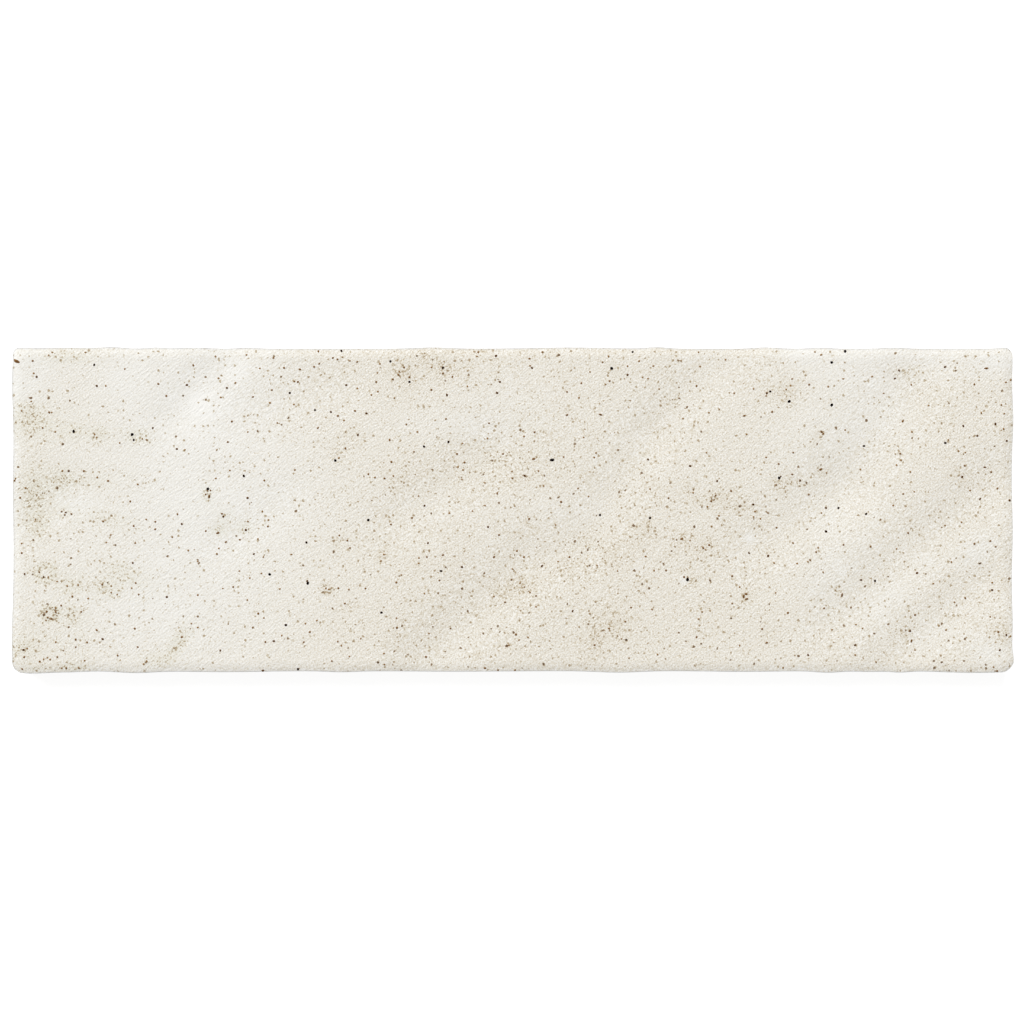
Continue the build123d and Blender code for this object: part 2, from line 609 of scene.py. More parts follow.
# The colours that the glaze takes as more iron shows through it, by how much darker they are than plain
# glaze, in steps of an eight-bit colour.
IRON_LADDER = (
    (-190, paint(36, 22, 14)),
    (-150, paint(84, 62, 44)),
    (-110, paint(129, 105, 80)),
    (-73, paint(168, 148, 120)),
    (-48, paint(191, 176, 150)),
    (-31, paint(206, 195, 173)),
    (-19, paint(216, 207, 190)),
    (-8, paint(225, 219, 205)),
    (0, paint(232, 227, 216)),
    (8, paint(238, 235, 227)),
    (20, paint(247, 245, 240)),
    (30, paint(252, 251, 248)),
)
DARK_SAND = paint(196, 186, 168)
PALE_SAND = paint(214, 206, 192)
GLAZE_LAYERS = ("stain", "olive", "chalk_and_rim_light", "painted_arris_shade", "painted_arris_light")


@dataclass(frozen=True)
class Scatter:
    """Chance specks in the glaze: their spacing and radius in metres, how many show, and their tone."""

    spacing: float
    radius: float
    share: float
    tone: float


@dataclass(frozen=True)
class MattGlaze:
    """The matt off-white glaze of the face, which ends in a wavy line down each side.

    The piece's own layers say where iron stains it brown (stain) or greenish (olive), where it is chalky,
    with a painted highlight along the left rim among those patches, and where the arris takes painted shade
    (on the far and left edges, which the key light falls on) or painted light (on the near and right edges,
    which face away from it). Tones are in steps of an eight-bit colour, and lengths in mm unless a group
    takes them.
    """

    name: str = "matt_glaze"
    roughness: float = 0.62
    clay_roughness: float = 0.9
    specular: float = 0.25
    grain_span: float = 0.00029
    grain_tone: float = 24.0
    mottle_span: float = 0.0035
    mottle_tone: float = 1.5
    stain_tone: float = -5.5
    chalk_and_rim_light_tone: float = 8.8
    chalk_on_grain: float = -0.4
    crowd_span: float = 14.0
    crowd_range: Point = (0.75, 1.35)
    chalk_on_crowd: float = -0.42
    stain_on_crowd: float = 1.15
    fleck_span: float = 0.42
    fleck_level: float = 0.695
    fleck_softness: float = 0.12
    crowd_on_flecks: float = -0.07
    fleck_tone: float = -29.0
    stained_fleck_tone: float = -28.0
    scatters: tuple[Scatter, ...] = (
        Scatter(0.0010, 0.00024, 0.66, -66.0),
        Scatter(0.0015, 0.00026, 0.22, -120.0),
    )
    # Painted shade and painted light for the arris: a grey line on the far and left edges, which the key
    # light falls on, and a pale one on the near and right edges, which face away from it; a noise of
    # arris_shade_span breaks up the grey.
    painted_arris_shade: Colour = paint(176, 176, 176)
    painted_arris_light: Colour = paint(251, 250, 246)
    painted_arris_light_cover: float = 0.5
    arris_shade_span: float = 1.5
    glaze_line: float = 6.6
    glaze_line_wave: float = 1.2
    glaze_line_span: float = 7.0
    glaze_line_softness: float = 0.15
    relief: float = 0.094
    ripple_turn: float = 42.0
    ripple_stretch: float = 3.1
    wrinkle_span: float = 0.33
    swell_span: float = 1.0
    swell_share: float = 0.3
    olive: Colour = (0.990, 1.0, 0.988, 1.0)
    cool: Colour = (0.985, 0.991, 1.0, 1.0)

    def make(self, effects: Effects) -> bpy.types.Material:
        """Makes the material.

        Args:
            effects: the shared node groups.

        Returns:
            The material.
        """
        material = bpy.data.materials.new(self.name)
        wiring = empty_wiring(material)
        place = wiring.place()
        layers = {name: wiring.layer(name) for name in GLAZE_LAYERS}
        grain = wiring.group(effects.grain, Vector=place, Span=self.grain_span, Mottle_Span=self.mottle_span)
        colour = self.ladder(wiring, self.tone(wiring, effects, place, grain, layers))
        for layer, tint in (("olive", self.olive), ("chalk_and_rim_light", self.cool)):
            colour = wiring.blend(layers[layer], colour, tint, blend_type="MULTIPLY", clamp_factor=True)
        # Painted shade on the arris of the lit far and left edges, broken up by a noise, then painted light
        # on the arris of the near and right edges.
        arris_shade_breakup = wiring.spread(wiring.noise(place, self.arris_shade_span).outputs[0], 0.3, 0.6, (0.75, 1.0))
        colour = wiring.blend(wiring.math("MULTIPLY", layers["painted_arris_shade"], arris_shade_breakup), colour, self.painted_arris_shade)
        painted_arris_light = wiring.math("MULTIPLY", layers["painted_arris_light"], self.painted_arris_light_cover)
        colour = wiring.blend(painted_arris_light, colour, self.painted_arris_light)

        clay = wiring.blend(wiring.spread(grain.outputs["Grain"], -1.0, 1.0), DARK_SAND, PALE_SAND)
        glazed = self.glazed(wiring, place)
        shader = wiring.fill(
            wiring.add("ShaderNodeBsdfPrincipled"),
            Base_Color=wiring.blend(glazed, clay, colour),
            Roughness=wiring.spread(glazed, 0.0, 1.0, (self.clay_roughness, self.roughness)),
            Specular_IOR_Level=self.specular,
            Normal=wiring.bump(self.ripple(wiring, place), self.relief),
        )
        wiring.end_with(shader)
        return material

    def ripple(self, wiring: Wiring, place: bpy.types.NodeSocket) -> bpy.types.NodeSocket:
        """The height of the fine ripple that runs askew over the face.

        Args:
            wiring: the material's wiring.
            place: the coordinates.

        Returns:
            The height, from 0 to about 1.
        """
        turn = (0.0, 0.0, math.radians(self.ripple_turn))
        turned = wiring.add("ShaderNodeMapping", vector_type="TEXTURE")
        wiring.fill(turned, Vector=place, Rotation=turn, Scale=(self.ripple_stretch, 1.0, 1.0))
        wrinkles = wiring.noise(turned.outputs[0], self.wrinkle_span, 1.0).outputs[0]
        swells = wiring.noise(turned.outputs[0], self.swell_span, 1.0).outputs[0]
        return wiring.math("MULTIPLY_ADD", swells, self.swell_share, wrinkles)

    def tone(
        self,
        wiring: Wiring,
        effects: Effects,
        place: bpy.types.NodeSocket,
        grain: bpy.types.Node,
        layers: dict[str, bpy.types.NodeSocket],
    ) -> bpy.types.NodeSocket:
        """How much lighter or darker than plain glaze each point is.

        Args:
            wiring: the material's wiring.
            effects: the shared node groups.
            place: the coordinates.
            grain: the sandy grain.
            layers: the piece's own layers by name.

        Returns:
            The tone, in steps of an eight-bit colour.
        """
        stain, chalk_and_rim_light = layers["stain"], layers["chalk_and_rim_light"]
        crowd = wiring.spread(wiring.noise(place, self.crowd_span).outputs[0], 0.3, 0.7, self.crowd_range)
        crowd = wiring.math("MULTIPLY_ADD", chalk_and_rim_light, self.chalk_on_crowd, crowd)
        crowd = wiring.math("MULTIPLY_ADD", stain, self.stain_on_crowd, crowd)
        coarse = wiring.math("MULTIPLY_ADD", chalk_and_rim_light, self.chalk_on_grain, 1.0)
        flecks = wiring.noise(place, self.fleck_span, 1.0).outputs[0]
        least = wiring.math("MULTIPLY_ADD", crowd, self.crowd_on_flecks, self.fleck_level)
        shown = wiring.spread(flecks, least, wiring.math("ADD", least, self.fleck_softness))
        # The chalky patches lighten the glaze; among them is a painted highlight along the left rim.
        parts = [
            (wiring.math("MULTIPLY", grain.outputs["Grain"], coarse), self.grain_tone),
            (grain.outputs["Mottle"], self.mottle_tone),
            (stain, self.stain_tone),
            (chalk_and_rim_light, self.chalk_and_rim_light_tone),
            (shown, wiring.math("MULTIPLY_ADD", stain, self.stained_fleck_tone, self.fleck_tone)),
        ]
        for kind in self.scatters:
            picked = wiring.math("MULTIPLY", crowd, kind.share)
            specks = wiring.group(
                effects.specks, Vector=place, Spacing=kind.spacing, Radius=kind.radius, Share=picked
            )
            parts.append((specks.outputs[0], kind.tone))
        total = 0.0
        for amount, tone in parts:
            total = wiring.math("MULTIPLY_ADD", amount, tone, total)
        return total

    def ladder(self, wiring: Wiring, tone: bpy.types.NodeSocket) -> bpy.types.NodeSocket:
        """The colour that goes with a tone.

        Args:
            wiring: the material's wiring.
            tone: the tone, in steps of an eight-bit colour.

        Returns:
            The colour.
        """
        lowest = IRON_LADDER[0][0]
        span = IRON_LADDER[-1][0] - lowest
        stops = tuple(((step - lowest) / span, colour) for step, colour in IRON_LADDER)
        return wiring.ramp(wiring.math("DIVIDE", wiring.math("SUBTRACT", tone, lowest), span), stops)

    def glazed(self, wiring: Wiring, place: bpy.types.NodeSocket) -> bpy.types.NodeSocket:
        """Where the glaze covers the clay: all over the face, and down each side to a wavy line.

        Args:
            wiring: the material's wiring.
            place: the coordinates.

        Returns:
            The cover, from 0 on bare clay to 1 on glaze.
        """
        split = wiring.add("ShaderNodeSeparateXYZ")
        wiring.feed(split.inputs[0], place)
        clouds = wiring.noise(place, self.glaze_line_span, 4.0, 0.6).outputs[0]
        wave = wiring.math("MULTIPLY", wiring.math("SUBTRACT", clouds, 0.5), 2 * self.glaze_line_wave * MM)
        height = wiring.math("ADD", split.outputs["Z"], wave)
        low, high = (self.glaze_line + side * self.glaze_line_softness for side in (-1, 1))
        return wiring.spread(height, low * MM, high * MM)


@dataclass(frozen=True)
class BareClay:
    """The unglazed clay of the back: pale, dry and sandy, with soft darker clouds and brown specks."""

    name: str = "bare_clay"
    roughness: float = 0.92
    relief: float = 0.04
    cloud_cover: float = 0.4
    cloud: Colour = paint(186, 172, 150)
    speck: Colour = paint(120, 98, 76)

    def make(self, effects: Effects) -> bpy.types.Material:
        """Makes the material.

        Args:
            effects: the shared node groups.

        Returns:
            The material.
        """
        material = bpy.data.materials.new(self.name)
        wiring = empty_wiring(material)
        place = wiring.place()
        grain = wiring.group(effects.grain, Vector=place, Span=0.0006, Mottle_Span=0.006)
        sand = wiring.blend(wiring.spread(grain.outputs["Grain"], -1.0, 1.0), DARK_SAND, PALE_SAND)
        clouds = wiring.math("MULTIPLY", wiring.spread(grain.outputs["Mottle"], -1.0, 1.0), self.cloud_cover)
        specks = wiring.group(effects.specks, Vector=place, Spacing=0.0016, Radius=0.00025, Share=0.35)
        shader = wiring.fill(
            wiring.add("ShaderNodeBsdfPrincipled"),
            Base_Color=wiring.blend(specks.outputs[0], wiring.blend(clouds, sand, self.cloud), self.speck),
            Roughness=self.roughness,
            Normal=wiring.bump(grain.outputs["Grain"], self.relief),
        )
        wiring.end_with(shader)
        return material


@dataclass(frozen=True)
class Patch:
    """A soft oval patch or ring of the glaze.

    It is given by the pixel at its middle, its half-sizes in pixels, its strength and its turn in degrees.
    A ring's band has a half-width that is a share of the ring's own half-size.
    """

    across: float
    down: float
    half_long: float
    half_short: float
    strength: float
    turn: float = 0.0
    band: float = 0.0

    def at(self, x: float, y: float, picture: Picture) -> float:
        """The patch's strength at a point of the face.

        Args:
            x: the point's place along the nominal tile.
            y: the point's place across the nominal tile.
            picture: how the pixels lie on the face.

        Returns:
            The strength there, which fades from the middle of the patch.
        """
        middle_x, middle_y = picture.to_face(self.across, self.down)
        cos, sin = math.cos(math.radians(self.turn)), math.sin(math.radians(self.turn))
        along = (x - middle_x) * cos + (y - middle_y) * sin
        aside = (y - middle_y) * cos - (x - middle_x) * sin
        along /= self.half_long * picture.mm_per_pixel
        aside /= self.half_short * picture.mm_per_pixel
        away = math.hypot(along, aside)
        return self.strength * (swell(away - 1.0, self.band) if self.band else swell(away, 1.0))


OLIVE_STAINS = rows(
    Patch,
    (27, 416, 14, 10, 1.0), (45, 430, 22, 10, 0.5), (75, 430, 7, 5, 0.7), (98, 434, 8, 6, 1.2),
    (137, 436, 9, 5, 1.0), (36, 500, 10, 22, 1.05), (62, 479, 8, 8, 1.0), (95, 480, 32, 7, 0.4, 4),
    (45, 488, 26, 16, 0.2), (64, 511, 7, 5, 0.5), (112, 520, 26, 6, 0.5, -14), (38, 527, 8, 8, 0.6),
    (46, 573, 8, 7, 1.2, 0, 0.4), (70, 585, 10, 8, 0.9), (107, 588, 10, 7, 1.1),
    (125, 573, 18, 7, 0.8, -25), (50.5, 613.4, 6.4, 5.6, 2.2, 0, 0.36), (72, 616, 9, 7, 0.9),
    (22, 650, 10, 9, 0.85), (75, 667, 13, 4, 0.9), (38, 668, 10, 4, 0.7), (46, 640, 30, 14, 0.24),
    (178, 643, 13, 4.5, 1.4, 57), (156, 659, 11, 6, 0.7), (219, 530, 6, 4, 1.2),
    (245, 528, 6, 5, 1.2, 30), (224, 517, 5, 6, 0.8), (207.6, 493.5, 4, 6, 1.4), (66, 356, 22, 6, 0.7),
)
IRON_STAINS = rows(
    Patch,
    (400, 369, 9, 8, 0.85), (500, 353, 40, 8, 0.35), (412, 380, 7, 8, 0.6), (440, 370, 10, 8, 0.7),
    (425, 356, 8, 5, 0.7), (468, 382, 7, 7, 0.15), (490, 474, 60, 13, 0.45), (341, 452, 6, 9, 0.6),
    (356, 435, 7, 6, 0.6), (395, 478, 8, 6, 0.4), (450, 440, 8, 8, 0.5), (470, 446, 10, 5, 0.5),
    (340, 545, 9, 7, 0.5), (383, 556, 5, 5, 1.0), (418, 562, 8, 6, 0.3),
    (327, 589, 4.5, 4.5, 1.6, 0, 0.35), (345, 606, 7, 6, 0.5), (325, 632, 24, 12, 0.3),
    (430, 625, 40, 12, 0.15, 20), (506, 590, 11, 7, 0.9), (530, 585, 9, 6, 0.6), (530, 390, 6, 5, 0.4),
    (612, 370, 7, 5, 0.5), (568, 411, 7, 6, 0.4), (668, 400, 6, 6, 0.5), (787, 392, 7, 10, 1.2),
    (768, 392, 6, 5, 0.7), (818, 438, 4.5, 9, 1.2, -25), (783, 484, 8, 8, 0.9), (803, 482, 10, 5, 0.5),
    (820, 470, 7, 5, 0.7), (694, 497, 6, 6, 0.7), (714, 498, 5, 5, 1.5, 40), (738, 505, 14, 7, 0.5, -20),
    (530, 518, 8, 9, 0.5), (640, 530, 10, 9, 0.6), (610, 552, 22, 12, 0.4), (682, 539, 7, 6, 0.8),
    (706, 545, 8, 6, 0.9), (689, 579, 6, 6, 0.8), (570, 566, 8, 7, 0.5), (768, 552, 6, 6, 0.5),
    (745, 596, 6, 6, 0.7), (768, 635, 8, 7, 0.6), (612, 625, 16, 10, 0.8, 15), (595, 645, 7, 12, 0.6),
    (840, 592, 8, 5, 0.4), (860, 577, 8, 6, 0.3), (906, 632, 9, 10, 0.6), (1000, 636, 8, 9, 0.9),
    (903, 371, 15, 4, 0.6), (960, 477, 9, 6, 0.6), (978, 514, 16, 10, 0.25), (228, 468, 16, 10, 0.3),
    (833, 404, 5, 5, 0.6),
)
# Chalky, whiter patches of the glaze. The narrow strip at pixel (13, 490) is a painted highlight along the
# left rim, where the rim faces the light.
CHALK_AND_RIM_LIGHT = rows(
    Patch,
    (200, 375, 66, 85, 0.85), (195, 560, 80, 115, 0.85), (40, 500, 60, 200, 0.3), (13, 490, 5, 140, 0.9),
    (18, 392, 16, 10, 0.4), (125, 372, 20, 22, 0.4), (18, 356, 32, 26, 0.8), (202, 405, 11, 12, 0.8),
    (236, 371, 10, 8, 0.6), (800, 352, 11, 8, 0.9), (835, 375, 32, 32, 0.45), (930, 352, 80, 18, 0.85),
    (994, 362, 12, 8, 0.6), (750, 538, 4, 3, 1.4), (886, 602, 20, 11, 0.7, 35), (926, 562, 8, 6, 0.6),
    (829, 518, 10, 9, 0.5), (990, 650, 14, 10, 0.9), (975, 550, 18, 10, 0.7, 40),
    (850, 434, 32, 16, 0.35), (130, 612, 60, 28, 0.25), (500, 400, 40, 22, 0.4), (450, 427, 44, 11, 0.5),
    (295, 500, 50, 30, 0.3), (75, 505, 16, 8, 0.5), (552, 508, 44, 13, 0.35), (925, 632, 22, 13, 0.4),
    (805, 455, 40, 42, 0.3), (835, 570, 34, 22, 0.5, 35), (878, 400, 18, 22, 0.4),
    (684, 579.5, 3, 3, 2.0), (640, 568, 6, 6, 0.5), (550, 600, 130, 75, -0.22), (430, 372, 60, 26, -0.15),
)


class Finish(Enum):
    """Which of the tile's two finishes a face takes, by its material slot."""

    GLAZE = 0
    CLAY = 1


@dataclass
class GlazedTile:
    """The tile as one closed mesh: its face, rounded arris, wavy sides and grooved back.

    The far edge's arris takes painted shade, a grey line where the key light falls, and so does the left one
    at left_share.
    The right edge's arris takes painted light where it faces away from the key light, and so does the near
    one at near_share.
    The face's own rim takes rim_share of all that. In the lower half, a face whose normal rises or falls by
    more than level_from belongs to the back.
    """

    shape: TileShape
    picture: Picture
    cell: float = 0.41
    side_levels: tuple[float, ...] = (7.7, 6.8, 5.8, 4.6, 3.2, 1.8, 0.6)
    arris_steps: int = 4
    rim_share: float = 0.3
    left_share: float = 0.75
    near_share: float = 1.95
    on_edge: float = 1 - 1e-6
    side_unevenness: float = 0.05
    side_spans: Point = (5.0, 1.7)
    groove_count: int = 6
    groove_width: float = 5.0
    groove_pitch: float = 9.0
    groove_depth: float = 0.8
    groove_splay: float = 0.5
    groove_border: float = 9.0
    groove_find: float = 0.1
    level_from: float = 0.3
    sharp_turn: float = 25.0

    def build(self) -> bpy.types.Object:
        """Builds the tile's mesh.

        Returns:
            The object, at the origin.
        """
        work = bmesh.new()
        self.spread_rings(work)
        self.settle(work)
        self.close_back(work)
        bmesh.ops.recalc_face_normals(work, faces=work.faces[:])
        self.finish_faces(work)
        return new_object("glazed_tile", work)

    def ring_places(self) -> list[Point]:
        """The rings from the face's rim to the back.

        Returns:
            Each ring's inset from the outline and its height, where a height above the top of the sides is
            measured down from the face and given as a negative number.
        """
        start = math.radians(self.shape.arris_start)
        rings = []
        for step in range(1, self.arris_steps + 1):
            angle = start + (math.pi / 2 - start) * step / self.arris_steps
            drop = self.shape.arris * (math.cos(start) - math.cos(angle))
            rings.append((self.shape.arris * (1 - math.sin(angle)), -drop))
        rings += [(0.0, level) for level in self.side_levels]
        chamfer = self.shape.back_chamfer
        rings += [(0.3 * chamfer, 0.35 * chamfer), (chamfer, 0.0)]
        return rings

    def spread_rings(self, work: bmesh.types.BMesh) -> None:
        """Lays a flat square grid for the face, and a ring below it for each ring of the sides.

        Args:
            work: the mesh in the making. Its vertices end on the square from -1 to 1, a unit lower by ring.
        """
        counts = [round(size / self.cell) for size in (self.shape.length, self.shape.width)]
        bmesh.ops.create_grid(work, x_segments=counts[0], y_segments=counts[1], size=1.0)
        rim = [edge for edge in work.edges if edge.is_boundary]
        for _ in self.ring_places():
            made = bmesh.ops.extrude_edge_only(work, edges=rim)["geom"]
            verts = [part for part in made if isinstance(part, bmesh.types.BMVert)]
            bmesh.ops.translate(work, vec=(0.0, 0.0, -1.0), verts=verts)
            rim = [part for part in made if isinstance(part, bmesh.types.BMEdge) and part.is_boundary]

    def settle(self, work: bmesh.types.BMesh) -> None:
        """Moves each vertex from the square to its place on the tile, and notes the glaze's patches and the
        arris's painted shade and light there.

        Args:
            work: the mesh in the making.
        """
        layer = {name: work.verts.layers.float.new(name) for name in GLAZE_LAYERS}
        rings = self.ring_places()
        rim_inset = self.shape.arris * (1 - math.sin(math.radians(self.shape.arris_start)))
        for vert in work.verts:
            u, v = vert.co.x, vert.co.y
            ring = round(-vert.co.z)
            inset, level = rings[ring - 1] if ring else (rim_inset, 0.0)
            face_x, face_y = self.shape.place(u, v, rim_inset)
            olive, iron, chalk_and_rim_light = (
                sum(patch.at(face_x, face_y, self.picture) for patch in patches)
                for patches in (OLIVE_STAINS, IRON_STAINS, CHALK_AND_RIM_LIGHT)
            )
            vert[layer["olive"]] = olive
            vert[layer["stain"]] = olive + iron
            vert[layer["chalk_and_rim_light"]] = chalk_and_rim_light
            # The arris takes painted shade on the far and left edges, which face the key light, and painted
            # light on the near and right ones, which face away from it; the face's own rim takes a share of
            # each.
            if ring <= self.arris_steps and max(abs(u), abs(v)) > self.on_edge:
                share = 1.0 if ring else self.rim_share
                if v > self.on_edge:
                    vert[layer["painted_arris_shade"]] = share
                elif u < -self.on_edge:
                    vert[layer["painted_arris_shade"]] = self.left_share * share
                else:
                    vert[layer["painted_arris_light"]] = share if u > self.on_edge else self.near_share * share
            x, y = (face_x, face_y) if ring == 0 else self.shape.place(u, v, inset)
            if level > 0:
                z = level
                broad, fine = (noise.noise(Vector((x, y, z)) / span) for span in self.side_spans)
                rough = broad + 0.5 * fine
                out = Vector((x - face_x, y - face_y, 0.0)).normalized() * rough * self.side_unevenness
                x, y = x + out.x, y + out.y
            else:
                z = self.shape.face_height(face_x, face_y) + level if ring < len(rings) else 0.0
            vert.co = Vector((x + self.shape.shift.x, y + self.shape.shift.y, z)) * MM

    def close_back(self, work: bmesh.types.BMesh) -> None:
        """Closes the back with one flat face, and sinks keying grooves into it.

        Args:
            work: the mesh in the making, open at the back.
        """
        rim = [edge for edge in work.edges if edge.is_boundary]
        for face in bmesh.ops.holes_fill(work, edges=rim, sides=0)["faces"]:
            face.material_index = Finish.CLAY.value
        half_run = (self.shape.length / 2 - self.groove_border) * MM
        first = -(self.groove_count - 1) / 2 * self.groove_pitch
        middles = [(first + number * self.groove_pitch) * MM for number in range(self.groove_count)]
        cuts = [(Vector((end * half_run, 0, 0)), Vector((1, 0, 0))) for end in (-1, 1)]
        for middle in middles:
            for side in (-0.5, 0.5):
                cuts.append((Vector((0, middle + side * self.groove_width * MM, 0)), Vector((0, 1, 0))))
        for where, way in cuts:
            faces = [face for face in work.faces if face.material_index == Finish.CLAY.value]
            parts = dict.fromkeys(part for face in faces for part in (face, *face.edges, *face.verts))
            bmesh.ops.bisect_plane(work, geom=list(parts), plane_co=where, plane_no=way, dist=1e-7)
        for middle in middles:
            mouths = [
                face
                for face in work.faces
                if face.material_index == Finish.CLAY.value
                and abs(face.calc_center_median().y - middle) < self.groove_find * MM
                and abs(face.calc_center_median().x) < self.groove_find * MM
            ]
            bmesh.ops.inset_region(
                work,
                faces=mouths,
                thickness=self.groove_splay * MM,
                depth=-self.groove_depth * MM,
                use_even_offset=True,
                use_boundary=True,
            )

    def finish_faces(self, work: bmesh.types.BMesh) -> None:
        """Gives each face its finish, and marks where the surface turns sharply.

        Args:
            work: the closed mesh.
        """
        for face in work.faces:
            face.smooth = True
            below = face.calc_center_median().z < 0.5 * self.shape.thickness * MM
            level = abs(face.normal.z) > self.level_from and below
            face.material_index = Finish.CLAY.value if level else Finish.GLAZE.value
        for edge in work.edges:
            edge.smooth = edge.calc_face_angle(0.0) < math.radians(self.sharp_turn)


@dataclass(frozen=True)
class Iron:
    """One kind of iron speck: its radius, how dark its middle is, and how much of that its rim loses."""

    radius: float
    darkness: float
    paling: float = 0.35


class SpeckKind(Enum):
    """The kinds of iron speck that stand out one by one."""

    INK = Iron(0.370, 1.35, 0.47)
    UMBER = Iron(0.300, 1.08)
    BROWN = Iron(0.290, 0.86)
    FAINT = Iron(0.265, 0.70)
    PALE = Iron(0.240, 0.58)
    SMEAR = Iron(0.240, 0.76)


INK, UMBER, BROWN, FAINT, PALE, SMEAR = SpeckKind


@dataclass(frozen=True)
class Speck:
    """One iron speck: its pixel, its kind, its length over its width, its turn in degrees and its size."""

    across: float
    down: float
    kind: SpeckKind
    stretch: float = 1.0
    turn: float = 0.0
    size: float = 1.0


INK_PLACES = (
    (132.5, 434.5), (208, 489), (335.5, 460.5), (368.4, 520), (269.8, 574.3), (611.5, 368.5),
    (687.5, 579.5), (845, 351.5), (831.5, 362.5), (789, 401.5), (831.5, 405), (779, 478),
)
UMBER_PLACES = (
    (94.5, 365), (134, 440), (341.5, 351), (390.5, 361.5), (443, 368), (409.5, 382), (315, 410),
    (424, 446.5), (448.5, 442), (306.5, 542.5), (441, 571), (381.5, 612.5), (286, 625), (298, 669),
    (632.5, 352), (650, 518), (770, 391.5), (864, 446), (945, 443), (866, 514), (826, 531.5),
    (838.5, 508), (875, 581), (290, 393), (244, 476), (600, 515),
)
BROWN_PLACES = (
    (187, 385), (97, 386), (153, 428), (177, 449), (69, 471), (227, 388), (133, 563), (25, 574),
    (223.5, 516.6), (246, 530), (220.5, 650.5), (182, 524), (254, 554), (44, 577), (167, 597), (103, 639),
    (358, 435), (447, 395), (496, 356), (497, 393), (331, 412), (428, 543), (488, 527), (462, 567),
    (274, 641), (263, 670.5), (627.5, 375), (532, 368), (648, 459.5), (690, 466), (717, 481), (542, 566),
    (572.5, 611), (749, 553), (753, 504.5), (945, 367), (899, 370.5), (895, 378.5), (963, 426),
    (995, 424), (977, 436), (962, 477), (1006.5, 441), (980, 499), (826, 508), (768, 556), (861, 580),
    (917, 573), (910, 631), (855, 645), (808, 655), (999.5, 650), (1006, 635), (992, 590), (800, 480.5),
    (37, 377), (247.8, 498), (44, 615), (23.8, 649.8), (346.3, 385.2), (424.5, 505.8), (524.7, 475.8),
    (766.6, 393.3), (1009.6, 500.4), (500, 382), (366.5, 413.5),
)
FAINT_PLACES = (
    (166.5, 396), (84, 471), (33, 361), (228, 442), (139, 594.5), (97, 630), (76, 647), (69, 627),
    (135, 628.5), (182, 637), (138, 647), (134, 526), (217, 554), (338, 416), (503, 454), (391.5, 462),
    (412, 518), (499, 535), (350, 548), (332, 661), (304, 642), (338, 641.5), (498, 670), (567, 392),
    (696.5, 386), (687, 407), (744, 416), (731, 491), (618, 450), (709, 545), (631, 607.5), (609, 628.5),
    (594.5, 645), (696.5, 637), (561, 502), (529, 519), (536, 596), (666, 570.5), (776, 485), (991, 472),
    (903, 494), (816, 552), (810, 560), (851, 607.5), (915, 615), (998, 632), (908, 533), (997, 671),
    (158.5, 384), (49.5, 412.5), (43, 428), (147, 440), (14.8, 480.7), (20.4, 497.8), (108.5, 481),
    (130.5, 501.5), (103.4, 521.5), (155.5, 521.8), (155.5, 529.3), (177.7, 514.2), (22, 553),
    (39.5, 572), (102.5, 584.4), (136, 583), (72.6, 596.5), (61.5, 605.5), (48, 617.5), (52, 618.8),
    (56, 612), (47, 611.5), (81.6, 611.8), (24.6, 657), (76, 639.5), (87.4, 642.3), (118, 655.5),
    (57.5, 657), (40, 661.4), (66.5, 668), (79, 668), (22.5, 669), (193.5, 365.4), (273.5, 358),
    (318.5, 351.3), (333, 358), (337.5, 359.5), (319.4, 363.7), (314.3, 367), (284.3, 368), (300, 369.5),
    (294.5, 381.5), (298, 382), (272, 390), (253, 397), (232, 421.5), (318, 428), (264.5, 480.5),
    (268, 526.5), (206, 531), (240, 539.8), (339.5, 535.5), (233.4, 587), (258.5, 613.5), (253, 627.5),
    (265.5, 642), (310, 632), (338.5, 588.2), (357.3, 362), (404, 367.5), (398.5, 375), (393, 379.5),
    (376.3, 382), (409.5, 377.3), (355, 411), (406.5, 424.5), (389.7, 440), (345.5, 448.5), (414, 452),
    (443, 373.5), (452.5, 377), (431.4, 390), (478.2, 352.4), (446, 419), (489, 423.3), (457, 454),
    (368.5, 474.3), (384.5, 478.5), (464.5, 462.5), (497.3, 493.5), (391, 524.5), (347.5, 540.5),
    (443, 555), (427, 557), (494, 557), (396.5, 582.5), (365.5, 588.5), (439.5, 580.3), (345, 603.5),
    (397, 627.7), (450.5, 628.5), (426, 657), (485, 668), (542.5, 352.3), (529.5, 358.8), (581.3, 383.3),
    (609.5, 381.2), (602.5, 362.3), (534.5, 432.3), (512.3, 478.3), (569.5, 557), (511.5, 579.8),
    (505, 602.3), (625.3, 621.5), (516, 634.5), (809, 384.7), (772, 412), (823, 434), (793, 452.7),
    (778.5, 464), (792, 474.4), (711, 501.2), (808.8, 494.6), (776.5, 527.7), (703, 548), (793, 543),
    (684, 577), (732, 576), (732, 603.5), (787.7, 612.8), (824, 608.2), (762, 629), (974, 384.5),
    (902.5, 421.5), (900.2, 453.8), (964.5, 465.8), (997.5, 488.5), (843.3, 544.8), (870.5, 546.7),
    (974.3, 543.8), (990, 541.2), (995.5, 546.8), (965.2, 598),
)
